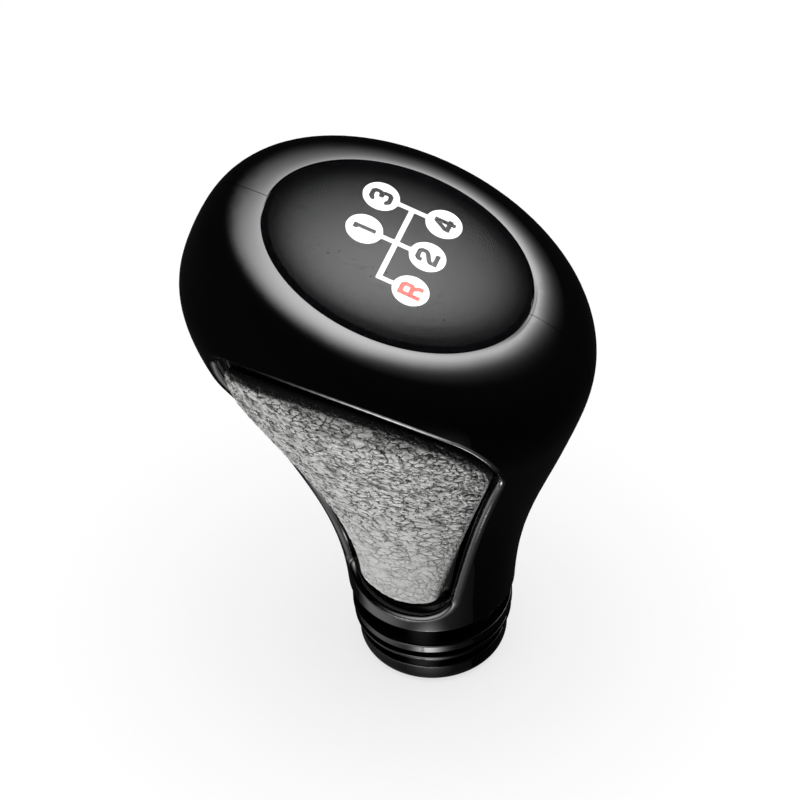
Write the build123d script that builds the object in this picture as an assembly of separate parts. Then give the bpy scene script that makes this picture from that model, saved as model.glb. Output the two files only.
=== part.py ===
from build123d import *
from math import cos, radians, sin, tan
import os

# Gear shift knob. Millimetres and degrees, +Z up the gear lever, +Y towards the front of the car,
# origin at the middle of the foot. The head leans back to the driver and overhangs forwards.

# Neck and head of the body
neck_radius = 14.0
rim_round = 0.5
head_tilt = 17.0
girth_forward = 5.9
girth_height = 71.2
girth_half_length = 34.2
girth_half_width = 27.6
crown_rise = 15.2
crown_drop = 0.65
crown_slope = 12.0
land_slope = 4.0
shoulder_half_length = 27.6
shoulder_half_width = 23.2
shoulder_forward = 2.7

# Lean of the side profiles at the neck, and how far each profile holds its direction
front_neck_lean = 3.1
front_neck_reach = 33.9
front_girth_reach = 17.8
rear_neck_lean = 4.1
rear_neck_reach = 21.1
rear_girth_reach = 19.8
waist_half_width = 13.5
throat_half_width = 21.7
shoulder_reach = 8.0
shoulder_pull = 0.63
crown_pull = 0.35

# Shell walls and the parting line on the mid-plane
wall = 2.4
seam_width = 0.12
seam_depth = 0.1

# Grip pads, one in a recess on each side, by margins from the body's side profiles
recess_depth = 2.6
lip_round = 1.2
pad_gap = 2.2
pad_rear_gap = 0.6
pad_sink = 0.3
pad_round = 1.5
pad_rim_gap = 3.5
pad_top_rise = 7.5
pad_front_neck_margin = 4.1
pad_front_throat_margin = 7.3
pad_front_head_margin = 8.0
pad_front_girth_margin = 12.4
pad_rear_neck_margin = 7.7
pad_rear_throat_margin = 7.4
pad_rear_girth_margin = 7.8
pad_front_top_round = 5.0
pad_rear_top_round = 14.0
pad_rear_foot_round = 4.8
pad_front_foot_round = 4.4

# Badge in the top face: a printed plate under a clear dome
badge_half_length = 22.2
badge_half_width = 18.3
badge_forward = 2.1
badge_land = 0.6
seat_depth = 1.0
plate_thickness = 0.8
dome_edge = 1.3
dome_rise = 1.1
dome_round = 1.0

# Threaded insert for the gear lever, M12 x 1.25
thread_minor_radius = 5.325
thread_chamfer = 0.4
insert_radius = 8.0
insert_bottom = 0.1
insert_shank = 27.4
insert_hex_flats = 17.0
insert_hex_height = 6.0
insert_roof = 3.0

# Grooved base collar, pressed over the spigot of the body
spigot_radius = 9.8
collar_floor = 2.2
foot_radius = 12.5
foot_height = 4.3
foot_round = 2.4
foot_groove = 2.6
low_ring_radius = 13.3
low_ring_height = 0.7
ring_groove = 1.4
top_ring_radius = 13.5
top_ring_height = 1.6
rim_groove = 4.0
groove_radius = 11.7
ring_round = 0.25

# Two screws that draw the halves together, hidden under the left pad
rear_screw_back = 15.2
rear_screw_drop = 12.0
front_screw_ahead = 5.6
front_screw_drop = 5.8
screw_shank_radius = 1.4
screw_head_radius = 2.8
screw_head_height = 2.0
screw_seat = 7.0
screw_grip = 8.0
boss_radius = 4.4

# Clearances
press_clearance = 0.05
loose_clearance = 0.2

# Places that follow from the sizes above
ahead = Vector(0, cos(radians(head_tilt)), sin(radians(head_tilt)))
upward = Vector(0, -sin(radians(head_tilt)), cos(radians(head_tilt)))
sideways = Vector(1, 0, 0)
girth_centre = Vector(0, girth_forward, girth_height)
top_centre = girth_centre + upward * crown_rise
low_ring_bottom = foot_height + foot_groove
low_ring_top = low_ring_bottom + low_ring_height
top_ring_bottom = low_ring_top + ring_groove
top_ring_top = top_ring_bottom + top_ring_height
rim_height = top_ring_top + rim_groove
hex_bottom = insert_bottom + insert_shank
insert_top = hex_bottom + insert_hex_height
beyond = 3 * girth_half_length

# Stations along the body: 0 at the neck rim, 1 at the girth, 2 at the crown's edge, 3 at the badge's land
loft_stations = [0, 0.12, 0.24, 0.38, 0.52, 0.66, 0.8, 0.9, 1, 1.2, 1.4, 1.6, 1.8, 2, 2.35, 2.7, 3]
front_throat_station = 0.26
front_head_station = 0.47
front_top_station = 0.98
rear_throat_station = 0.45


def bezier(t, start, leave, arrive, end):
    """Point of a cubic curve."""
    return start * (1 - t) ** 3 + leave * 3 * (1 - t) ** 2 * t + arrive * 3 * (1 - t) * t**2 + end * t**3


def lower_section(station, inset):
    """Front point, rear point and half width between the neck rim and the girth."""
    front_way = Vector(0, sin(radians(front_neck_lean)), cos(radians(front_neck_lean)))
    rear_way = Vector(0, -sin(radians(rear_neck_lean)), cos(radians(rear_neck_lean)))
    rim_front = Vector(0, neck_radius - inset, rim_height)
    rim_rear = Vector(0, inset - neck_radius, rim_height)
    girth_front = girth_centre + ahead * (girth_half_length - inset)
    girth_rear = girth_centre - ahead * (girth_half_length - inset)
    front_leave = rim_front + front_way * front_neck_reach
    rear_leave = rim_rear + rear_way * rear_neck_reach
    front = bezier(station, rim_front, front_leave, girth_front - upward * front_girth_reach, girth_front)
    rear = bezier(station, rim_rear, rear_leave, girth_rear - upward * rear_girth_reach, girth_rear)
    half_width = bezier(station, neck_radius, waist_half_width, throat_half_width, girth_half_width)
    return front, rear, half_width - inset


def upper_section(station, inset):
    """Front point, rear point and half width between the girth and the edge of the crown."""
    edge = top_centre + ahead * shoulder_forward - upward * (crown_drop + inset)
    edge_front = edge + ahead * (shoulder_half_length - inset)
    edge_rear = edge - ahead * (shoulder_half_length - inset)
    girth_front = girth_centre + ahead * (girth_half_length - inset)
    girth_rear = girth_centre - ahead * (girth_half_length - inset)
    shoulder = upward * shoulder_reach
    slope = upward * tan(radians(crown_slope))
    front_pull = shoulder_pull * (girth_half_length - shoulder_half_length - shoulder_forward)
    rear_pull = shoulder_pull * (girth_half_length - shoulder_half_length + shoulder_forward)
    width_pull = shoulder_pull * (girth_half_width - shoulder_half_width)
    front_arrive = edge_front + (ahead - slope) * front_pull
    rear_arrive = edge_rear - (ahead + slope) * rear_pull
    width_arrive = shoulder_half_width + width_pull
    front = bezier(station, girth_front, girth_front + shoulder, front_arrive, edge_front)
    rear = bezier(station, girth_rear, girth_rear + shoulder, rear_arrive, edge_rear)
    half_width = bezier(station, girth_half_width, girth_half_width, width_arrive, shoulder_half_width)
    return front, rear, half_width - inset


def crown_section(station, inset):
    """Front point, rear point and half width between the edge of the crown and the land of the badge."""
    edge = top_centre + ahead * shoulder_forward - upward * (crown_drop + inset)
    edge_front = edge + ahead * (shoulder_half_length - inset)
    edge_rear = edge - ahead * (shoulder_half_length - inset)
    land = top_centre + ahead * badge_forward - upward * inset
    land_front = land + ahead * (badge_half_length + badge_land - inset)
    land_rear = land - ahead * (badge_half_length + badge_land - inset)
    land_half_width = badge_half_width + badge_land
    edge_slope = upward * tan(radians(crown_slope))
    land_tilt = upward * tan(radians(land_slope))
    front_pull = crown_pull * (edge_front - land_front).dot(ahead)
    rear_pull = crown_pull * (land_rear - edge_rear).dot(ahead)
    width_pull = crown_pull * (shoulder_half_width - land_half_width)
    front_leave = edge_front - (ahead - edge_slope) * front_pull
    rear_leave = edge_rear + (ahead + edge_slope) * rear_pull
    front_arrive = land_front + (ahead - land_tilt) * front_pull
    rear_arrive = land_rear - (ahead + land_tilt) * rear_pull
    width_leave = shoulder_half_width - width_pull
    width_arrive = land_half_width + width_pull
    front = bezier(station, edge_front, front_leave, front_arrive, land_front)
    rear = bezier(station, edge_rear, rear_leave, rear_arrive, land_rear)
    half_width = bezier(station, shoulder_half_width, width_leave, width_arrive, land_half_width)
    return front, rear, half_width - inset


def section(station, inset=0.0):
    """One elliptical section of the body, or of a body that is smaller all round by the inset."""
    if station <= 1:
        return lower_section(station, inset)
    if station <= 2:
        return upper_section(station - 1, inset)
    return crown_section(station - 2, inset)


def body(inset=0.0):
    """The outer form, lofted through elliptical sections."""
    sections = []
    for station in loft_stations:
        front, rear, half_width = section(station, inset)
        lengthwise = (front - rear).normalized()
        plane = Plane((front + rear) * 0.5, x_dir=lengthwise, z_dir=sideways.cross(lengthwise))
        sections.append(plane * Ellipse((front - rear).length / 2, half_width))
    return loft(sections)


def front_edge(station, margin):
    """Point of the side view, a margin behind the front profile."""
    front, rear, _ = section(station)
    return front + (rear - front).normalized() * margin


def rear_edge(station, margin):
    """Point of the side view, a margin ahead of the rear profile."""
    front, rear, _ = section(station)
    return rear + (front - rear).normalized() * margin


def side_outline(gap, rear_gap):
    """Side outline of the pad recess, or of a pad inside it by a gap that narrows to the rear top corner."""
    middle_gap = (gap + rear_gap) / 2
    foot_rise = Vector(0, 0, gap)
    foot_station = pad_rim_gap / (girth_height - rim_height)
    front_foot = front_edge(foot_station, pad_front_neck_margin + gap) + foot_rise
    front_throat = front_edge(front_throat_station, pad_front_throat_margin + gap)
    front_head = front_edge(front_head_station, pad_front_head_margin + gap)
    front_top = front_edge(front_top_station, pad_front_girth_margin + gap) - upward * gap
    rear_top = rear_edge(1, pad_rear_girth_margin + rear_gap) - upward * rear_gap
    rear_throat = rear_edge(rear_throat_station, pad_rear_throat_margin + rear_gap)
    rear_foot = rear_edge(foot_station, pad_rear_neck_margin + middle_gap) + foot_rise
    low_front = ThreePointArc(front_foot, front_throat, front_head)
    high_front = TangentArc(front_head, front_top, tangent=low_front % 1)
    top = ThreePointArc(front_top, girth_centre + upward * (pad_top_rise - middle_gap), rear_top)
    rear = ThreePointArc(rear_top, rear_throat, rear_foot)
    foot = ThreePointArc(rear_foot, Vector(0, 0, rim_height + pad_rim_gap + gap), front_foot)
    face = make_face([low_front, high_front, top, rear, foot])
    corner_rounds = [
        (front_top, pad_front_top_round - gap),
        (rear_top, pad_rear_top_round - rear_gap),
        (rear_foot, pad_rear_foot_round - gap),
        (front_foot, pad_front_foot_round - gap),
    ]
    for corner, radius in corner_rounds:
        face = fillet(face.vertices().sort_by_distance(corner)[0], radius)
    return face


def grown(outline, amount):
    """The outline moved out, as plain arcs."""
    edges = offset(outline, amount).face().outer_wire().order_edges()
    edges = [edge for edge in edges if edge.length > press_clearance]
    corners = [edge @ 0 for edge in edges]
    corners.append(corners[0])
    arcs = []
    for place, edge in enumerate(edges):
        arcs.append(ThreePointArc(corners[place], edge @ 0.5, corners[place + 1]))
    return make_face(arcs)


def along_x(place, radius, start, length):
    """Round bar along X at a place of the side view."""
    end_plane = Plane(place + sideways * start, x_dir=(0, 1, 0), z_dir=sideways)
    return extrude(end_plane * Circle(radius), length)


def screw_axes():
    """Where the two screws cross the mid-plane."""
    rear_screw = girth_centre - ahead * rear_screw_back - upward * rear_screw_drop
    front_screw = girth_centre + ahead * front_screw_ahead - upward * front_screw_drop
    return [rear_screw, front_screw]


def badge_plane(height):
    """Plane of the badge, at a height over the top face, its X axis along the head."""
    return Plane(top_centre + ahead * badge_forward + upward * height, x_dir=ahead, z_dir=upward)


def hex_bar(flats, height):
    """Upright hexagonal bar with two flats facing sideways."""
    return extrude(RegularPolygon(flats / 2, 6, major_radius=False, rotation=30), height)


def common_half(outline):
    """Left half of the body before its screw bosses."""
    whole = fillet(body().edges().sort_by(Axis.Z)[0], rim_round)
    half = split(whole, bisect_by=Plane.YZ, keep=Keep.BOTTOM)
    recess = extrude(outline, -beyond, dir=sideways) - body(recess_depth)
    cut = half - recess
    shell = fillet(new_edges(half, recess, combined=cut), lip_round)
    pad_boss = extrude(grown(outline, wall), -beyond, dir=sideways) - body(recess_depth + wall)
    cavity = body(wall) - pad_boss
    shell -= split(cavity, bisect_by=Plane.XY.offset(insert_top + insert_roof), keep=Keep.TOP)
    seat_length = badge_half_length + loose_clearance
    seat_width = badge_half_width + loose_clearance
    shell -= extrude(badge_plane(-seat_depth) * Ellipse(seat_length, seat_width), beyond)
    seam_slab = extrude(Plane.XY.offset(rim_height) * Rectangle(seam_width, beyond), beyond)
    shell -= seam_slab - body(seam_depth)
    spigot = Pos(0, 0, collar_floor) * extrude(Circle(spigot_radius), rim_height - collar_floor)
    shell += split(spigot, bisect_by=Plane.YZ, keep=Keep.BOTTOM)
    shell -= extrude(Circle(insert_radius + press_clearance), hex_bottom)
    hex_flats = insert_hex_flats + 2 * press_clearance
    shell -= Pos(0, 0, hex_bottom) * hex_bar(hex_flats, insert_hex_height + press_clearance)
    return shell


def left_shell(half):
    """Left half with the screw wells, open under the pad."""
    core = body(recess_depth + wall / 2)
    shell = half
    for place in screw_axes():
        boss = along_x(place, boss_radius, -beyond, beyond) & core
        shell = shell + boss
        shell -= along_x(place, screw_head_radius + loose_clearance, -beyond, beyond - screw_seat)
        shell -= along_x(place, screw_shank_radius + loose_clearance, -beyond, beyond)
    return shell


def right_shell(half):
    """Right half with blind bosses that the screws bite into."""
    core = body(recess_depth + wall / 2)
    shell = mirror(half, about=Plane.YZ)
    for place in screw_axes():
        boss = along_x(place, boss_radius, 0, beyond) & core
        shell = shell + boss
        shell -= along_x(place, screw_shank_radius + press_clearance, 0, screw_grip + loose_clearance)
    return shell


def grip_pad():
    """Left pad: follows the body a little below its surface and fills the recess to the gap."""
    block = extrude(side_outline(pad_gap, pad_rear_gap), -beyond, dir=sideways) & body(pad_sink)
    skin = block.faces().filter_by(GeomType.BSPLINE).sort_by(SortBy.AREA)[-1]
    return fillet(skin.edges(), pad_round) - body(recess_depth - press_clearance)


def badge_plate():
    """Flat oval plate that carries the print."""
    return extrude(badge_plane(-seat_depth) * Ellipse(badge_half_length, badge_half_width), plate_thickness)


def badge_dome():
    """Clear dome cast on the plate, turned round and then drawn to the oval."""
    crown = dome_edge + dome_rise
    centre_line = Line((0, crown), (0, 0))
    base = Line((0, 0), (badge_half_length, 0))
    side = Line((badge_half_length, 0), (badge_half_length, dome_edge))
    cap = TangentArc((0, crown), (badge_half_length, dome_edge), tangent=(1, 0))
    profile = make_face([centre_line, base, side, cap])
    profile = fillet(profile.vertices().sort_by_distance(side @ 1)[0], dome_round)
    dome = revolve(Plane.XZ * profile, Axis.Z)
    oval = scale(dome, by=(1, badge_half_width / badge_half_length, 1))
    return badge_plane(plate_thickness - seat_depth) * oval


def threaded_insert():
    """Metal bush with a hexagon that keeps it from turning between the halves."""
    bush = Pos(0, 0, insert_bottom) * extrude(Circle(insert_radius), insert_shank)
    bush += Pos(0, 0, hex_bottom) * hex_bar(insert_hex_flats, insert_hex_height)
    bush -= extrude(Circle(thread_minor_radius), insert_top)
    thread = bush.faces().filter_by(GeomType.CYLINDER).sort_by(SortBy.RADIUS)[0]
    return chamfer(thread.edges().filter_by(GeomType.CIRCLE), thread_chamfer)


def base_collar():
    """Grooved ring with a rounded foot, turned about the lever axis."""
    inner = insert_radius + press_clearance
    bore = spigot_radius + press_clearance
    corners = [
        (inner, 0),
        (foot_radius, 0),
        (foot_radius, foot_height),
        (groove_radius, foot_height),
        (groove_radius, low_ring_bottom),
        (low_ring_radius, low_ring_bottom),
        (low_ring_radius, low_ring_top),
        (groove_radius, low_ring_top),
        (groove_radius, top_ring_bottom),
        (top_ring_radius, top_ring_bottom),
        (top_ring_radius, top_ring_top),
        (groove_radius, top_ring_top),
        (groove_radius, rim_height),
        (bore, rim_height),
        (bore, collar_floor),
        (inner, collar_floor),
    ]
    profile = make_face(Polyline(corners, close=True))
    profile = fillet(profile.vertices().sort_by_distance((foot_radius, 0))[0], foot_round)
    ring_edges = [corners[2], corners[5], corners[6], corners[9], corners[10]]
    for corner in ring_edges:
        profile = fillet(profile.vertices().sort_by_distance(corner)[0], ring_round)
    return revolve(Plane.XZ * profile, Axis.Z)


def shell_screws():
    """The two screws, heads down in the wells of the left half."""
    screws = []
    for place in screw_axes():
        shank = along_x(place, screw_shank_radius, -screw_seat, screw_seat + screw_grip)
        head = along_x(place, screw_head_radius, -screw_seat - screw_head_height, screw_head_height)
        screws.append(shank + head)
    return Compound(children=screws)


outline = side_outline(0, 0)
half = common_half(outline)
left_pad = grip_pad()
parts = {
    "shell_left": left_shell(half),
    "shell_right": right_shell(half),
    "grip_pad_left": left_pad,
    "grip_pad_right": mirror(left_pad, about=Plane.YZ),
    "badge_plate": badge_plate(),
    "badge_dome": badge_dome(),
    "threaded_insert": threaded_insert(),
    "base_collar": base_collar(),
    "shell_screws": shell_screws(),
}
os.makedirs("parts", exist_ok=True)
for name, part in parts.items():
    export_step(part, f"parts/{name}.step")
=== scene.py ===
import bpy
import bmesh
from math import cos, exp, floor, pi, radians, sin, tau
import numpy
from mathutils import Matrix, Vector, noise
from mathutils.kdtree import KDTree


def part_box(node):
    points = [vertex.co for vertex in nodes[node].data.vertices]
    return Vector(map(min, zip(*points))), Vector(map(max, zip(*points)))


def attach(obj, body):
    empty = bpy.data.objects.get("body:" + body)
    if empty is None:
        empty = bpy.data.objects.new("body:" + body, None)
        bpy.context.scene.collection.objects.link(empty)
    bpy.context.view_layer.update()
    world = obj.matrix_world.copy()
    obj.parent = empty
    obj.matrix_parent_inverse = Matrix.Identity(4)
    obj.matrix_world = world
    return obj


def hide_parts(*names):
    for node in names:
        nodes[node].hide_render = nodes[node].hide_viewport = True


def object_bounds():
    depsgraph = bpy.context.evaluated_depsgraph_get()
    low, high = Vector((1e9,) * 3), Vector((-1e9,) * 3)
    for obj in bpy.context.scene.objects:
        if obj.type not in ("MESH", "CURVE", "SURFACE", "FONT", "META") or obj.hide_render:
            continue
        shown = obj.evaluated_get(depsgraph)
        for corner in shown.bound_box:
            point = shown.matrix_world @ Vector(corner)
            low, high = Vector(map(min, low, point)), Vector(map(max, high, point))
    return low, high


# Gear shift knob: gloss black moulded body, leather-look side pads, domed badge with the shift pattern.
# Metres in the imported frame: +Z up the lever, +Y to the front of the car, +X to the right.
# Lengths in the dictionaries are millimetres.

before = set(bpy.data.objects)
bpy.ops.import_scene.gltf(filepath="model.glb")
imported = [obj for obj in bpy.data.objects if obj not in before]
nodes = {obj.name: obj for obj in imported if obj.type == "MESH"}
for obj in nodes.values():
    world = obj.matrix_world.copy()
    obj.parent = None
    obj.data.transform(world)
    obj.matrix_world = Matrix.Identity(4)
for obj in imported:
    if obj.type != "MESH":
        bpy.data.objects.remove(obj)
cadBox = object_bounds()
scene = bpy.context.scene
mm = 0.001
print("frame loaded:", len(nodes), "CAD pieces")

# The head leans back, so the badge and the grain of the pads follow these directions
headTilt = radians(17)
ahead = Vector((0, cos(headTilt), sin(headTilt)))
upward = Vector((0, -sin(headTilt), cos(headTilt)))
sideways = Vector((1, 0, 0))


def boxCentre(node):
    low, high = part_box(node)
    return (Vector(low) + Vector(high)) / 2


def smoothStep(low, high, value):
    t = min(max((value - low) / (high - low), 0), 1)
    return t * t * (3 - 2 * t)


def hexColour(text):
    channels = [int(text[i:i + 2], 16) / 255 for i in (1, 3, 5)]
    return [c / 12.92 if c <= 0.04045 else ((c + 0.055) / 1.055) ** 2.4 for c in channels] + [1]


# A mix node that is set to colours has its factor and colours at inputs 0, 6 and 7, its result at output 2
def addNode(tree, kind, values=None, links=None, **settings):
    node = tree.nodes.new(kind)
    for name, value in settings.items():
        setattr(node, name, value)
    for socket, value in (values or {}).items():
        node.inputs[socket].default_value = value
    for socket, source in (links or {}).items():
        tree.links.new(source, node.inputs[socket])
    return node


def newMaterial(name, values):
    material = bpy.data.materials.new(name)
    material.use_nodes = True
    shader = material.node_tree.nodes["Principled BSDF"]
    for socket, value in values.items():
        shader.inputs[socket].default_value = value
    return material, material.node_tree, shader


def dress(mesh, material):
    mesh.materials.clear()
    mesh.materials.append(material)


def addObject(name, data):
    thing = bpy.data.objects.new(name, data)
    scene.collection.objects.link(thing)
    return thing


def newPiece(name, mesh, material, slotName, *replaced):
    piece = addObject(name, mesh)
    dress(mesh, material)
    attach(piece, "root")
    if replaced:
        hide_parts(*replaced)
    return piece


def meshFrom(bm, name):
    bmesh.ops.recalc_face_normals(bm, faces=bm.faces)
    mesh = bpy.data.meshes.new(name)
    bm.to_mesh(mesh)
    bm.free()
    return mesh


# Gloss ABS, moulded in a polished tool: near black, a mirror-like skin with a very slight waviness
absLook = {
    "colour": "#050506",
    "ior": 1.5,
    "roughness": (0.03, 0.06),
    "hazePitch": 2.5,
    "hazeRange": (0.3, 0.7),
    "wavePitch": 9.0,
    "waveDepth": 0.004,
}


def glossAbs():
    material, tree, shader = newMaterial("moulded gloss ABS", {
        "Base Color": hexColour(absLook["colour"]), "IOR": absLook["ior"]})
    place = addNode(tree, "ShaderNodeTexCoord")
    haze = addNode(tree, "ShaderNodeTexNoise",
                   {"Scale": 1 / (absLook["hazePitch"] * mm), "Detail": 3, "Roughness": 0.6},
                   {"Vector": place.outputs["Object"]})
    hazeLow, hazeHigh = absLook["hazeRange"]
    smooth, dull = absLook["roughness"]
    rough = addNode(tree, "ShaderNodeMapRange",
                    {"From Min": hazeLow, "From Max": hazeHigh, "To Min": smooth, "To Max": dull},
                    {"Value": haze.outputs["Fac"]})
    tree.links.new(rough.outputs["Result"], shader.inputs["Roughness"])
    wave = addNode(tree, "ShaderNodeTexNoise", {"Scale": 1 / (absLook["wavePitch"] * mm), "Detail": 1},
                   {"Vector": place.outputs["Object"]})
    bump = addNode(tree, "ShaderNodeBump", {"Strength": 1, "Distance": absLook["waveDepth"] * mm},
                   {"Height": wave.outputs["Fac"]})
    tree.links.new(bump.outputs["Normal"], shader.inputs["Normal"])
    return material


# Polishing evens out the reflections: the shading of the crown and shoulder follows a smooth fit
polish = {
    "facing": 0.6,          # how far a corner faces up the head to be fitted, as a cosine
    "reach": 3.2,
    "likeness": 0.9,        # how alike the direction of a neighbour has to be, as a cosine
    "normalDigits": 3,
}


def polishCrown(mesh):
    # only the normals change, every vertex stays where it is
    reach = polish["reach"] * mm
    normals = [Vector(n.vector) for n in mesh.corner_normals]
    corners = {}
    for loop, normal in zip(mesh.loops, normals):
        if normal.dot(upward) > polish["facing"]:
            place = mesh.vertices[loop.vertex_index].co
            key = (loop.vertex_index,) + tuple(round(v, polish["normalDigits"]) for v in normal)
            corners.setdefault(key, (place, normal, []))[2].append(loop.index)
    samples = list(corners.values())
    tree = KDTree(len(samples))
    for i, (place, _, _) in enumerate(samples):
        tree.insert(place, i)
    tree.balance()
    fitted = []
    for place, normal, _ in samples:
        near = [(samples[i][0] - place, samples[i][1], distance)
                for _, i, distance in tree.find_range(place, reach)
                if samples[i][1].dot(normal) > polish["likeness"]]
        # plane fit of the normals round the corner, nearer ones counting more
        weights = numpy.array([[1 - (distance / reach) ** 2] for _, _, distance in near])
        steps = numpy.array([(1, step.dot(sideways) / mm, step.dot(ahead) / mm) for step, _, _ in near])
        values = numpy.array([tuple(direction) for _, direction, _ in near])
        fit = numpy.linalg.lstsq(steps * weights, values * weights, rcond=None)[0]
        fitted.append(Vector(fit[0]).normalized())
    for (_, _, loops), normal in zip(samples, fitted):
        for i in loops:
            normals[i] = normal
    mesh.normals_split_custom_set(normals)


bodyAbs = glossAbs()
for name in ("shell_left", "shell_right", "base_collar"):
    dress(nodes[name].data, bodyAbs)
for name in ("shell_left", "shell_right"):
    polishCrown(nodes[name].data)
print("shells and collar: gloss ABS")


# Coated split leather, embossed and then creased as it was stretched over the foam: pale grey with
# a soft sheen and small pebbles. Painted shade darkens the hollows, the creases along the pad and
# the edges under the lip, and painted light makes the foot of the pad paler
leatherLook = {
    "colour": "#d0d0ce",
    # painted light: the pale colour, mixed in with random tone, lightens the foot of the pad
    "paleAndLitColour": "#d4d4d2",
    # painted shade in the hollows of the grain
    "hollowShadeColour": "#6c6c6a",
    # painted shade in the creases
    "creaseShadeColour": "#2c2c2c",
    # painted shade on the rim and top edge where the leather turns in under the lip
    "rimAndLipShadeColour": "#1c1c1c",
    "ior": 1.35,
    "sheen": 0.15,
    "sheenRoughness": 0.5,
    "roughness": (0.34, 0.54),
    "pebblePitch": 0.7,
    "pebbleDepth": 0.07,
    "pebbleEdge": 0.6,      # where a pebble is roughest, as a share of the pitch
    "tonePitch": 5.0,
    "paleOffset": 0.9,
    "finePitch": 1.15,
    "fineStretch": 1.6,
    "fineWidth": 0.09,      # share of the pitch
    "fineCore": 0.2,        # share of the width at full depth
    "fineDepth": 0.22,
    "warpPitch": 1.1,
    "warp": 0.9,
    "breakPitch": 1.6,
    "breakRange": (0.36, 0.52),
}


def fineCreases(tree, place, strength):
    # short fine creases: warped cells, longer along the head, broken up by a coarser noise
    turned = addNode(tree, "ShaderNodeMapping",
                     {"Rotation": (-headTilt, 0, 0), "Scale": (1, 1 / leatherLook["fineStretch"], 1)},
                     {"Vector": place.outputs["Object"]})
    wander = addNode(tree, "ShaderNodeTexNoise", {"Scale": 1 / (leatherLook["warpPitch"] * mm), "Detail": 2},
                     {"Vector": turned.outputs["Vector"]})
    shift = addNode(tree, "ShaderNodeVectorMath", {1: (leatherLook["warp"] * mm,) * 3},
                    {0: wander.outputs["Color"]}, operation="MULTIPLY")
    warped = addNode(tree, "ShaderNodeVectorMath",
                     links={0: turned.outputs["Vector"], 1: shift.outputs["Vector"]}, operation="ADD")
    net = addNode(tree, "ShaderNodeTexVoronoi", {"Scale": 1 / (leatherLook["finePitch"] * mm)},
                  {"Vector": warped.outputs["Vector"]}, feature="DISTANCE_TO_EDGE")
    width = leatherLook["fineWidth"]
    line = addNode(tree, "ShaderNodeMapRange",
                   {"From Min": leatherLook["fineCore"] * width, "From Max": width, "To Min": 1, "To Max": 0},
                   {"Value": net.outputs["Distance"]}, interpolation_type="SMOOTHSTEP")
    gaps = addNode(tree, "ShaderNodeTexNoise", {"Scale": 1 / (leatherLook["breakPitch"] * mm), "Detail": 2},
                   {"Vector": turned.outputs["Vector"]})
    breakLow, breakHigh = leatherLook["breakRange"]
    broken = addNode(tree, "ShaderNodeMapRange", {"From Min": breakLow, "From Max": breakHigh},
                     {"Value": gaps.outputs["Fac"]}, interpolation_type="SMOOTHSTEP")
    short = addNode(tree, "ShaderNodeMath", links={0: line.outputs["Result"], 1: broken.outputs["Result"]},
                    operation="MULTIPLY")
    return addNode(tree, "ShaderNodeMath", links={0: short.outputs[0], 1: strength.outputs["Fac"]},
                   operation="MULTIPLY")


def leatherColour(tree, place, strength, creases):
    # random tone, and painted light: paler towards the foot of the pad, where the grain is weaker
    tone = addNode(tree, "ShaderNodeTexNoise",
                   {"Scale": 1 / (leatherLook["tonePitch"] * mm), "Detail": 5, "Roughness": 0.65},
                   {"Vector": place.outputs["Object"]})
    liftedTone = addNode(tree, "ShaderNodeMath", {1: leatherLook["paleOffset"]}, {0: tone.outputs["Fac"]},
                     operation="ADD")
    pale = addNode(tree, "ShaderNodeMath", links={0: liftedTone.outputs[0], 1: strength.outputs["Fac"]},
                   operation="SUBTRACT", use_clamp=True)
    colour = addNode(tree, "ShaderNodeMix",
                     {6: hexColour(leatherLook["colour"]), 7: hexColour(leatherLook["paleAndLitColour"])},
                     {0: pale.outputs[0]}, data_type="RGBA")
    # painted shade: darker in the hollows, in the creases, and on the rim and top edge under the lip
    hollowShade = addNode(tree, "ShaderNodeAttribute", attribute_name="hollowShade")
    rimAndLipShade = addNode(tree, "ShaderNodeAttribute", attribute_name="rimAndLipShade")
    for shadeColourName, amount in (("hollowShadeColour", hollowShade.outputs["Fac"]), ("creaseShadeColour", creases.outputs[0]),
                        ("rimAndLipShadeColour", rimAndLipShade.outputs["Fac"])):
        colour = addNode(tree, "ShaderNodeMix", {7: hexColour(leatherLook[shadeColourName])},
                         {0: amount, 6: colour.outputs[2]}, data_type="RGBA")
    return colour


def coatedLeather():
    material, tree, shader = newMaterial("embossed coated leather", {
        "IOR": leatherLook["ior"], "Sheen Weight": leatherLook["sheen"],
        "Sheen Roughness": leatherLook["sheenRoughness"]})
    place = addNode(tree, "ShaderNodeTexCoord")
    strength = addNode(tree, "ShaderNodeAttribute", attribute_name="grainStrength")
    creases = fineCreases(tree, place, strength)
    colour = leatherColour(tree, place, strength, creases)
    tree.links.new(colour.outputs[2], shader.inputs["Base Color"])
    pebble = addNode(tree, "ShaderNodeTexVoronoi",
                     {"Scale": 1 / (leatherLook["pebblePitch"] * mm), "Randomness": 1},
                     {"Vector": place.outputs["Object"]}, feature="F1")
    smooth, dull = leatherLook["roughness"]
    rough = addNode(tree, "ShaderNodeMapRange",
                    {"From Max": leatherLook["pebbleEdge"], "To Min": smooth, "To Max": dull},
                    {"Value": pebble.outputs["Distance"]})
    tree.links.new(rough.outputs["Result"], shader.inputs["Roughness"])
    pebbles = addNode(tree, "ShaderNodeBump", {"Strength": 1, "Distance": leatherLook["pebbleDepth"] * mm},
                      {"Height": pebble.outputs["Distance"]}, invert=True)
    grooves = addNode(tree, "ShaderNodeBump", {"Strength": 1, "Distance": leatherLook["fineDepth"] * mm},
                      {"Height": creases.outputs[0], "Normal": pebbles.outputs["Normal"]}, invert=True)
    tree.links.new(grooves.outputs["Normal"], shader.inputs["Normal"])
    return material


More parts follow.
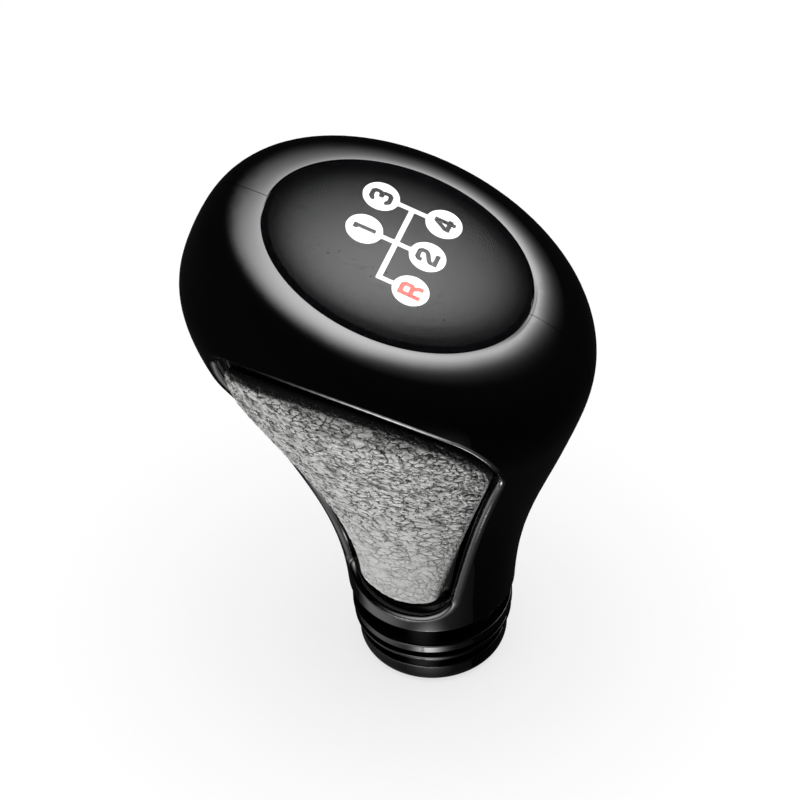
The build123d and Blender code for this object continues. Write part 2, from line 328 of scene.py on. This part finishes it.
# The pads: how the skin is laid out and how its grain runs. Each "facing" is a cosine.
padSettings = {
    "noiseSeed": 1795834970,        # keeps the creases the same in every run
    "skinGrid": 0.39,
    "softenTurns": 3,
    "shownFacing": 0.25,
    "stretch": 1.35,
    "sideShare": 0.5,
    "warpPitch": 2.0,
    "warp": 1.1,
    "ripplePitch": 0.7,
    "ripple": 0.4,
    "creases": ((2.6, 0.20, 0.26), (1.35, 0.17, 0.22)),     # cell, width, depth
    "patchPitch": 3.1,
    "patchRange": (-0.3, 0.2),
    "patchLeast": 0.7,
    "swells": ((6.0, 0.06), (0.9, 0.12), (0.5, 0.06)),      # pitch, height
    "grainFacing": (0.2, 0.6),
    "footGrain": 0.35,              # how much of the grain is left at the foot of the pad
    "footRise": (0.1, 0.5),         # where it grows to full, as shares of the pad's height
    # depths over which the painted shade in the hollows grows
    "hollowDepth": (0.16, 0.40),
    # facings that set the painted shade on the turned-in rim and on the top edge under the lip
    "rimFacing": (0.3, 0.75),
    "rimShade": 0.6,
    "topFacing": (-0.05, 0.4),
}


def padSkin(node, outward):
    # even skin over the CAD pad, twice as fine on the side that shows, to hold the creases as real grooves
    source = addObject("skin", nodes[node].data.copy())
    remesh = source.modifiers.new("skin", "REMESH")
    remesh.mode = "VOXEL"
    remesh.voxel_size = padSettings["skinGrid"] * mm
    soften = source.modifiers.new("soften", "SMOOTH")
    soften.iterations = padSettings["softenTurns"]
    graph = bpy.context.evaluated_depsgraph_get()
    mesh = bpy.data.meshes.new_from_object(source.evaluated_get(graph))
    bpy.data.objects.remove(source)
    bm = bmesh.new()
    bm.from_mesh(mesh)
    shown = [face for face in bm.faces if face.normal.x * outward > padSettings["shownFacing"]]
    edges = sorted({edge for face in shown for edge in face.edges}, key=lambda edge: edge.index)
    bmesh.ops.subdivide_edges(bm, edges=edges, cuts=1, use_grid_fill=True)
    bm.to_mesh(mesh)
    bm.free()
    return mesh


def grainDepth(grain, offset):
    wander = noise.noise_vector(grain / padSettings["warpPitch"]) * padSettings["warp"]
    wander += noise.noise_vector(grain / padSettings["ripplePitch"]) * padSettings["ripple"]
    # a few deep creases and many small ones, each deeper in patches
    least = padSettings["patchLeast"]
    depth = 0
    for cell, width, deep in padSettings["creases"]:
        near = noise.voronoi((grain + wander) / cell)[0]
        edge = (near[1] - near[0]) * cell
        patch = noise.noise(grain / padSettings["patchPitch"] + offset * cell)
        share = least + (1 - least) * smoothStep(*padSettings["patchRange"], patch)
        depth += deep * share * exp(-edge / width)
    # soft swells between them, from the foam and from the embossing
    for pitch, height in padSettings["swells"]:
        depth += height * (1 - noise.noise((grain + wander) / pitch)) / 2
    return depth


def padMesh(node, seed):
    centre = boxCentre(node)
    outward = 1 if centre.x > 0 else -1
    mesh = padSkin(node, outward)
    low = min(v.co.z for v in mesh.vertices)
    high = max(v.co.z for v in mesh.vertices)
    offset = sideways * seed
    foot = padSettings["footGrain"]
    layers = {"grainStrength": [], "hollowShade": [], "rimAndLipShade": []}
    moves = []
    for vertex in mesh.vertices:
        point = (vertex.co - centre) / mm
        grain = Vector((point.dot(ahead) / padSettings["stretch"], point.dot(upward),
                        point.x * padSettings["sideShare"])) + offset
        depth = grainDepth(grain, offset)
        # the grain fades where the leather turns in, and is stretched flatter at the foot
        facing = vertex.normal.x * outward
        rise = smoothStep(*padSettings["footRise"], (vertex.co.z - low) / (high - low))
        strength = smoothStep(*padSettings["grainFacing"], facing) * (foot + (1 - foot) * rise)
        # painted shade on the turned-in rim and on the top edge under the lip
        rim = padSettings["rimShade"] * (1 - smoothStep(*padSettings["rimFacing"], facing))
        top = smoothStep(*padSettings["topFacing"], vertex.normal.dot(upward))
        layers["grainStrength"].append(strength)
        # painted shade, deeper in the hollows of the grain
        layers["hollowShade"].append(strength * smoothStep(*padSettings["hollowDepth"], depth))
        layers["rimAndLipShade"].append(max(rim, top))
        moves.append(vertex.normal * -strength * depth * mm)
    for vertex, move in zip(mesh.vertices, moves):
        vertex.co += move
    for name, values in layers.items():
        layer = mesh.attributes.new(name, "FLOAT", "POINT")
        layer.data.foreach_set("value", values)
    mesh.polygons.foreach_set("use_smooth", [True] * len(mesh.polygons))
    return mesh


leather = coatedLeather()
noise.seed_set(padSettings["noiseSeed"])
for node, seed in (("grip_pad_left", 3.0), ("grip_pad_right", 47.0)):
    pad = newPiece(node + "_leather", padMesh(node, seed), leather, "grip_leather", node)
    print("pad:", pad.name, len(pad.data.polygons), "faces")


# Badge, in the plane of the plate: across is the driver's right, along is the front of the car
badge = {
    "plateThickness": 0.8,
    "patternAcross": 1.66,
    "patternAlong": 1.1,
    "columnPitch": 7.87,
    "rowPitch": 5.38,
    "discRadius": 3.0,
    "discSides": 72,
    "lineWidth": 0.85,
    "inkHeight": 0.03,
    "inkStep": 0.012,
    "numberHeight": 3.7,
    "numberGrid": (10, 14),     # squares across and up that the numbers are drawn on
    "strokeWidth": 3.0,         # in those squares
    "domeSink": 0.02,
    "domeSag": 0.2,
    "domeShrink": 0.6,
    "shrinkPower": 4,
    "mostDrop": 0.7,            # share of the dome's own height
}
plateTop = boxCentre("badge_plate") + upward * badge["plateThickness"] / 2 * mm


def onBadge(across, along, height):
    return plateTop + (sideways * across + ahead * along + upward * height) * mm


# Screen-printed polycarbonate: a black ground with a fine fleck, and dense flat inks on it.
# The resin wets the sheet, so it has next to no gloss of its own.
# A print screen's own mesh is finer than the fleck, which is drawn coarser so that it shows.
sheetLook = {
    "roughness": 0.45,
    "ior": 1.02,
    "fleckRange": (0.4, 0.75),
    "black printed sheet": ("#040405", "#080809", 0.4),     # colour, fleck's colour, fleck's pitch
    "white screen ink": ("#e6e6e4", "#efefed", 0.5),
    "black screen ink": ("#1f1f20", "#2a2a2b", 0.5),
    "red screen ink": ("#d4483e", "#dc564b", 0.5),
}


def printedSheet(name):
    colour, fleckColour, fleckPitch = sheetLook[name]
    material, tree, shader = newMaterial(name, {"Roughness": sheetLook["roughness"], "IOR": sheetLook["ior"]})
    place = addNode(tree, "ShaderNodeTexCoord")
    fleck = addNode(tree, "ShaderNodeTexNoise",
                    {"Scale": 1 / (fleckPitch * mm), "Detail": 4, "Roughness": 0.7},
                    {"Vector": place.outputs["Object"]})
    fleckLow, fleckHigh = sheetLook["fleckRange"]
    spread = addNode(tree, "ShaderNodeMapRange", {"From Min": fleckLow, "From Max": fleckHigh},
                     {"Value": fleck.outputs["Fac"]})
    mix = addNode(tree, "ShaderNodeMix", {6: hexColour(colour), 7: hexColour(fleckColour)},
                  {0: spread.outputs["Result"]}, data_type="RGBA")
    tree.links.new(mix.outputs[2], shader.inputs["Base Color"])
    return material


def strip(bm, points, width, low, high):
    # a flat stroke of even width along the points, with mitred corners
    rows = []
    for i, point in enumerate(points):
        before = (Vector(point) - Vector(points[i - 1])).normalized() if i else None
        after = (Vector(points[i + 1]) - Vector(point)).normalized() if i + 1 < len(points) else None
        normals = [Vector((-way.y, way.x)) for way in (before, after) if way]
        mitre = sum(normals, Vector((0, 0))).normalized()
        reach = width / 2 / mitre.dot(normals[0])
        left = Vector(point) + mitre * reach
        right = Vector(point) - mitre * reach
        rows.append([bm.verts.new(onBadge(*side, height)) for side, height in
                     ((left, high), (right, high), (right, low), (left, low))])
    for one, two in zip(rows, rows[1:]):
        for i in range(4):
            bm.faces.new((one[i], one[(i + 1) % 4], two[(i + 1) % 4], two[i]))
    bm.faces.new(rows[0])
    bm.faces.new(rows[-1])


def disc(bm, across, along, radius, low, high):
    turns = [tau * i / badge["discSides"] for i in range(badge["discSides"])]
    upper, lower = ([bm.verts.new(onBadge(across + radius * cos(t), along + radius * sin(t), height))
                     for t in turns] for height in (high, low))
    bm.faces.new(upper)
    bm.faces.new(lower)
    for i in range(len(turns)):
        k = (i + 1) % len(turns)
        bm.faces.new((upper[i], upper[k], lower[k], lower[i]))


# Squared numbers as strokes on the number grid
numberStrokes = {
    "1": [[(3.2, 12.6), (6.0, 12.6), (6.0, 0)]],
    "2": [[(1.3, 9.4), (1.3, 11.4), (2.6, 12.7), (7.4, 12.7), (8.7, 11.4), (8.7, 8.9), (7.6, 7.6),
           (2.4, 5.2), (1.3, 3.9), (1.3, 1.3), (9.4, 1.3)]],
    "3": [[(1.3, 10.2), (1.3, 11.4), (2.6, 12.7), (7.2, 12.7), (8.5, 11.4), (8.5, 8.5), (7.2, 7.2),
           (4.2, 7.2)],
          [(4.2, 7.0), (7.2, 7.0), (8.5, 5.7), (8.5, 2.6), (7.2, 1.3), (2.6, 1.3), (1.3, 2.6),
           (1.3, 3.9)]],
    "4": [[(7.0, 0), (7.0, 12.0), (5.9, 12.0), (1.4, 5.2), (1.4, 3.7), (9.8, 3.7)]],
    "R": [[(1.4, 0), (1.4, 12.7), (7.3, 12.7), (8.6, 11.4), (8.6, 7.4), (7.6, 6.4), (2.7, 6.4)],
          [(6.4, 6.2), (8.6, 3.0), (8.6, 0)]],
}
gate = [("1", 0, 1), ("3", 1, 1), ("R", -1, -1), ("2", 0, -1), ("4", 1, -1)]    # number, column, row


def gatePlace(column, row):
    across = badge["patternAcross"] + column * badge["columnPitch"]
    along = badge["patternAlong"] + row * badge["rowPitch"]
    return across, along


def shiftPattern():
    bm = bmesh.new()
    top = badge["inkHeight"]
    for _, column, row in gate:
        disc(bm, *gatePlace(column, row), badge["discRadius"], 0, top)
    lineTop = top - badge["inkStep"] / 2
    strip(bm, [gatePlace(-1, -1), gatePlace(-1, 0), gatePlace(1, 0)], badge["lineWidth"], 0, lineTop)
    for column in (0, 1):
        strip(bm, [gatePlace(column, -1), gatePlace(column, 1)], badge["lineWidth"], 0, lineTop)
    return meshFrom(bm, "shift_pattern")


def shiftNumbers(wanted, name):
    bm = bmesh.new()
    wide, tall = badge["numberGrid"]
    square = badge["numberHeight"] / tall
    low = badge["inkHeight"] - badge["inkStep"]
    high = badge["inkHeight"] + badge["inkStep"]
    for number, column, row in gate:
        if number in wanted:
            across, along = gatePlace(column, row)
            for stroke in numberStrokes[number]:
                points = [(across + (x - wide / 2) * square, along + (y - tall / 2) * square)
                          for x, y in stroke]
                strip(bm, points, badge["strokeWidth"] * square, low, high)
    return meshFrom(bm, name)


dress(nodes["badge_plate"].data, printedSheet("black printed sheet"))
whiteInk, blackInk, redInk = (printedSheet(colour + " screen ink") for colour in ("white", "black", "red"))
newPiece("shift_pattern", shiftPattern(), whiteInk, "badge_print")
newPiece("shift_numbers", shiftNumbers("1234", "shift_numbers"), blackInk, "badge_print")
newPiece("reverse_letter", shiftNumbers("R", "reverse_letter"), redInk, "badge_print")
print("badge: plate and print")


# Cast polyurethane resin, poured on the plate: clear and level with a faint ripple.
# The IOR is below the resin's own, so that the badge stays darker than the gloss round it.
resinLook = {"ior": 1.25, "roughness": 0.02, "ripplePitch": 7.0, "rippleDepth": 0.003}


def castResin():
    material, tree, shader = newMaterial("clear cast resin", {
        "Base Color": hexColour("#ffffff"), "IOR": resinLook["ior"],
        "Roughness": resinLook["roughness"], "Transmission Weight": 1})
    place = addNode(tree, "ShaderNodeTexCoord")
    ripple = addNode(tree, "ShaderNodeTexNoise", {"Scale": 1 / (resinLook["ripplePitch"] * mm), "Detail": 1},
                     {"Vector": place.outputs["Object"]})
    bump = addNode(tree, "ShaderNodeBump", {"Strength": 1, "Distance": resinLook["rippleDepth"] * mm},
                   {"Height": ripple.outputs["Fac"]})
    tree.links.new(bump.outputs["Normal"], shader.inputs["Normal"])
    return material


def domeMesh():
    # the dome as in CAD, drawn in a little at its edge as the resin sets,
    # its underside a hair into the plate so that no two faces lie in one plane
    mesh = nodes["badge_dome"].data.copy()
    sink = badge["domeSink"] * mm
    halfWidth, halfLength = (max(abs((v.co - plateTop).dot(way)) for v in mesh.vertices)
                             for way in (sideways, ahead))
    for vertex in mesh.vertices:
        place = vertex.co - plateTop
        height = place.dot(upward)
        if height < sink:
            vertex.co -= upward * sink
        else:
            reach = (place.dot(sideways) / halfWidth) ** 2 + (place.dot(ahead) / halfLength) ** 2
            drop = badge["domeSag"] * reach + badge["domeShrink"] * reach ** badge["shrinkPower"]
            vertex.co -= upward * min(drop * mm, height * badge["mostDrop"])
    return mesh


dome = newPiece("badge_dome_resin", domeMesh(), castResin(), "badge_resin", "badge_dome")
dome.visible_shadow = False    # light passes to the print below
print("badge: dome")


# Free-cutting brass, turned and tapped: yellow metal with fine rings and a bright thread.
# A turning tool leaves finer rings than these, which are drawn coarser so that they show.
brassLook = {
    "colour": "#c9a45a",
    "roughness": 0.28,
    "ringPitch": 0.25 * tau,
    "ringDepth": 0.006,
    "ringStrength": 0.6,
    "ringWander": 0.4,
}
threadSettings = {
    "minorRadius": 5.325,
    "majorRadius": 6.0,
    "pitch": 1.25,
    "flankSlope": 1.35,
    "crestFlat": 0.2,
    "chamfer": 0.4,
    "shankRadius": 8.0,
    "shankTop": 27.5,
    "hexFlats": 17.0,
    "sides": 96,
    "rowsPerTurn": 10,
}


def turnedBrass():
    material, tree, shader = newMaterial("turned brass", {
        "Base Color": hexColour(brassLook["colour"]), "Metallic": 1, "Roughness": brassLook["roughness"]})
    place = addNode(tree, "ShaderNodeTexCoord")
    waveFactor = 20    # the wave node turns 20 radians in each unit
    rings = addNode(tree, "ShaderNodeTexWave",
                    {"Scale": tau / (brassLook["ringPitch"] * mm) / waveFactor,
                     "Distortion": brassLook["ringWander"]},
                    {"Vector": place.outputs["Object"]}, bands_direction="Z")
    bump = addNode(tree, "ShaderNodeBump",
                   {"Strength": brassLook["ringStrength"], "Distance": brassLook["ringDepth"] * mm},
                   {"Height": rings.outputs["Fac"]})
    tree.links.new(bump.outputs["Normal"], shader.inputs["Normal"])
    return material


def insertMesh():
    # one closed skin: down the threaded bore, out under the foot, up the shank and the hexagon, back in
    low, high = (corner[2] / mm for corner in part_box("threaded_insert"))
    sides = threadSettings["sides"]
    pitch = threadSettings["pitch"]
    minor = threadSettings["minorRadius"]
    major = threadSettings["majorRadius"]
    lead = minor + threadSettings["chamfer"]
    rowCount = int((high - low) / pitch * threadSettings["rowsPerTurn"])
    turns = [tau * i / sides for i in range(sides)]
    rows = []
    for k in range(rowCount + 1):
        z = high + (low - high) * k / rowCount
        run = min(smoothStep(0, pitch, z - low), smoothStep(0, pitch, high - z))
        row = []
        for t in turns:
            phase = z / pitch - t / tau
            ridge = abs(2 * (phase - floor(phase)) - 1)
            depth = min(max(ridge * threadSettings["flankSlope"] - threadSettings["crestFlat"], 0), 1)
            radius = lead + (minor + (major - minor) * depth - lead) * run
            row.append((radius * cos(t), radius * sin(t), z))
        rows.append(row)
    shank = [threadSettings["shankRadius"]] * sides
    top = threadSettings["shankTop"]
    hexagon = [threadSettings["hexFlats"] / 2 / cos((t + pi / 6) % (pi / 3) - pi / 6) for t in turns]
    for outline, z in ((shank, low), (shank, top), (hexagon, top), (hexagon, high)):
        rows.append([(r * cos(t), r * sin(t), z) for r, t in zip(outline, turns)])
    bm = bmesh.new()
    grid = [[bm.verts.new(Vector(point) * mm) for point in row] for row in rows]
    for k, row in enumerate(grid):
        below = grid[(k + 1) % len(grid)]
        for i in range(sides):
            j = (i + 1) % sides
            bm.faces.new((row[i], row[j], below[j], below[i]))
    return meshFrom(bm, "threaded_insert")


newPiece("threaded_insert_brass", insertMesh(), turnedBrass(), "insert_brass", "threaded_insert")
print("insert: tapped brass")


# Zinc-plated steel screws: pale grey metal with a slightly cloudy plating
zincLook = {"colour": "#b9bcc0", "roughness": (0.25, 0.5), "cloudPitch": 0.8}


def zincSteel():
    material, tree, shader = newMaterial("zinc plated steel", {
        "Base Color": hexColour(zincLook["colour"]), "Metallic": 1})
    place = addNode(tree, "ShaderNodeTexCoord")
    cloud = addNode(tree, "ShaderNodeTexNoise", {"Scale": 1 / (zincLook["cloudPitch"] * mm), "Detail": 4},
                    {"Vector": place.outputs["Object"]})
    smooth, dull = zincLook["roughness"]
    rough = addNode(tree, "ShaderNodeMapRange", {"To Min": smooth, "To Max": dull},
                    {"Value": cloud.outputs["Fac"]})
    tree.links.new(rough.outputs["Result"], shader.inputs["Roughness"])
    return material


dress(nodes["shell_screws"].data, zincSteel())
print("screws: zinc plated steel")


# Studio: a white paper floor, a broad light overhead and two bounce lights from low left and low right.
# The cards stand in for softboxes and are seen in reflections alone.
studio = {
    "floorSize": 4000,
    "floorColour": "#8f8f8f",
    "floorGlow": 0.72,
    "fibreColour": "#8d8d8d",
    "fibrePitch": 1.5,
    "worldColour": "#ffffff",
    "worldLevel": 0.012,
    # name, way to it, strength, spread in degrees
    "lamps": (("overhead", (0, 0, 1), 3.4, 60),
              ("bounce_left", (-0.47, 0.40, -0.79), 3.5, 8),
              ("bounce_right", (0.60, 0.30, -0.74), 3.0, 8)),
    # over the head, for the light ring round the badge: name, way to it, distance, spread, strength
    "headCards": (("ring_card", (0.570, -0.178, 0.805), 500, (82, 106), 11.5),
                  ("halo_card", (0.36, -0.26, 0.89), 540, (150, 160), 0.6)),
    # low on the left, for the lip of the recess and the collar's rings:
    # name, place, way it faces, spread, strength, edge
    "lowCards": (("lip_card", (-85, 8, 0.4), (0, 0, 1), (24, 24), 8.5, 1),
                 ("foot_card", (-23, 20, 0.6), (0, 0, 1), (9, 12), 1, 2),
                 ("collar_card", (-21.5, -5.5, 0.6), (0, 0, 1), (3, 3), 10, 1),
                 ("side_card", (-46, -3, 36), (1, 0, 0), (12, 9), 9, 1)),
    "cardSides": 64,
    "cardReach": {1: 3.3, 2: 2},    # radius in spreads, for a soft edge and a later one
}


# White paper, pressed smooth: matt, with a faint fibre, drawn coarser than the real one so that it shows
def whitePaper():
    # most of its white is its own glow, so that the shadow on it stays pale
    material, tree, shader = newMaterial("white paper", {
        "Roughness": 1, "IOR": 1, "Emission Color": hexColour("#ffffff"),
        "Emission Strength": studio["floorGlow"]})
    place = addNode(tree, "ShaderNodeTexCoord")
    fibre = addNode(tree, "ShaderNodeTexNoise", {"Scale": 1 / (studio["fibrePitch"] * mm), "Detail": 3},
                    {"Vector": place.outputs["Object"]})
    mix = addNode(tree, "ShaderNodeMix",
                  {6: hexColour(studio["floorColour"]), 7: hexColour(studio["fibreColour"])},
                  {0: fibre.outputs["Fac"]}, data_type="RGBA")
    tree.links.new(mix.outputs[2], shader.inputs["Base Color"])
    return material


def paperFloor():
    bm = bmesh.new()
    bmesh.ops.create_grid(bm, x_segments=1, y_segments=1, size=studio["floorSize"] / 2 * mm)
    mesh = meshFrom(bm, "paper_floor")
    dress(mesh, whitePaper())
    sheet = addObject("paper_floor", mesh)
    sheet.location.z = cadBox[0][2]
    sheet.visible_glossy = False
    sheet.visible_diffuse = False
    sheet.visible_shadow = False    # the bounce lights reach the knob from below it


def cardGlow(name, spread, strength, edge):
    # light that falls off from the middle: softly with edge 1, later with edge 2
    material = bpy.data.materials.new(name)
    material.use_nodes = True
    tree = material.node_tree
    tree.nodes.clear()
    place = addNode(tree, "ShaderNodeTexCoord")
    ratio = addNode(tree, "ShaderNodeVectorMath", {1: (spread[0] * mm, spread[1] * mm, 1)},
                    {0: place.outputs["Object"]}, operation="DIVIDE")
    square = addNode(tree, "ShaderNodeVectorMath", links={0: ratio.outputs[0], 1: ratio.outputs[0]},
                     operation="DOT_PRODUCT")
    power = addNode(tree, "ShaderNodeMath", {1: edge}, {0: square.outputs["Value"]}, operation="POWER")
    half = addNode(tree, "ShaderNodeMath", {1: -0.5}, {0: power.outputs[0]}, operation="MULTIPLY")
    level = addNode(tree, "ShaderNodeMath", links={0: half.outputs[0]}, operation="EXPONENT")
    glow = addNode(tree, "ShaderNodeMath", {1: strength}, {0: level.outputs[0]}, operation="MULTIPLY")
    light = addNode(tree, "ShaderNodeEmission", links={"Strength": glow.outputs[0]})
    # light from cards further back comes through, so that cards add up where they overlap
    clear = addNode(tree, "ShaderNodeBsdfTransparent")
    both = addNode(tree, "ShaderNodeAddShader", links={0: light.outputs[0], 1: clear.outputs[0]})
    addNode(tree, "ShaderNodeOutputMaterial", links={"Surface": both.outputs[0]})
    return material


def softCard(name, place, facing, spread, strength, edge=1):
    bm = bmesh.new()
    bmesh.ops.create_circle(bm, cap_ends=True, segments=studio["cardSides"],
                            radius=studio["cardReach"][edge] * max(spread) * mm)
    mesh = meshFrom(bm, name)
    dress(mesh, cardGlow(name, spread, strength, edge))
    card = addObject(name, mesh)
    card.visible_camera = False
    card.visible_diffuse = False
    card.visible_shadow = False
    card.matrix_world = Vector(facing).to_track_quat("Z", "Y").to_matrix().to_4x4()
    card.matrix_world.translation = place


paperFloor()
for name, origin, strength, spread in studio["lamps"]:
    lamp = addObject(name, bpy.data.lights.new(name, "SUN"))
    lamp.rotation_euler = Vector(origin).to_track_quat("Z", "Y").to_euler()
    lamp.data.energy = strength
    lamp.data.angle = radians(spread)
    lamp.visible_glossy = False
world = bpy.data.worlds.new("studio")
scene.world = world
world.use_nodes = True
sky = world.node_tree.nodes["Background"]
sky.inputs["Color"].default_value = hexColour(studio["worldColour"])
sky.inputs["Strength"].default_value = studio["worldLevel"]
for name, direction, distance, spread, strength in studio["headCards"]:
    way = Vector(direction).normalized()
    softCard(name, plateTop + way * distance * mm, way, spread, strength)
for name, place, facing, spread, strength, edge in studio["lowCards"]:
    softCard(name, Vector(place) * mm, facing, spread, strength, edge)

# Camera at the photo's view
photoView = {
    "aim": (0, 0, 45),
    "azimuth": 21.372,
    "elevation": 45.079,
    "roll": 2.702,
    "distance": 625.8,
    "shiftRight": -3.984,
    "shiftUp": 7.534,
    "focalPixels": 3842.3,
    "imagePixels": 800,
    "sensor": 36,
    "nearest": 10,
}


def photoCamera():
    turn, rise, roll = (radians(photoView[k]) for k in ("azimuth", "elevation", "roll"))
    back = Vector((-cos(rise) * cos(turn), -cos(rise) * sin(turn), sin(rise)))
    right = Vector((sin(turn), -cos(turn), 0))
    up = Vector((sin(rise) * cos(turn), sin(rise) * sin(turn), cos(rise)))
    place = Vector(photoView["aim"]) + back * photoView["distance"]
    place += right * photoView["shiftRight"] + up * photoView["shiftUp"]
    rolledRight = cos(roll) * right - sin(roll) * up
    rolledUp = sin(roll) * right + cos(roll) * up
    camera = addObject("camera", bpy.data.cameras.new("camera"))
    camera.matrix_world = Matrix((rolledRight, rolledUp, back)).transposed().to_4x4()
    camera.matrix_world.translation = place * mm
    camera.data.sensor_width = photoView["sensor"]
    camera.data.lens = photoView["focalPixels"] / photoView["imagePixels"] * photoView["sensor"]
    camera.data.clip_start = photoView["nearest"] * mm
    scene.camera = camera


photoCamera()
scene.view_settings.view_transform = "Standard"
print("studio and camera set")
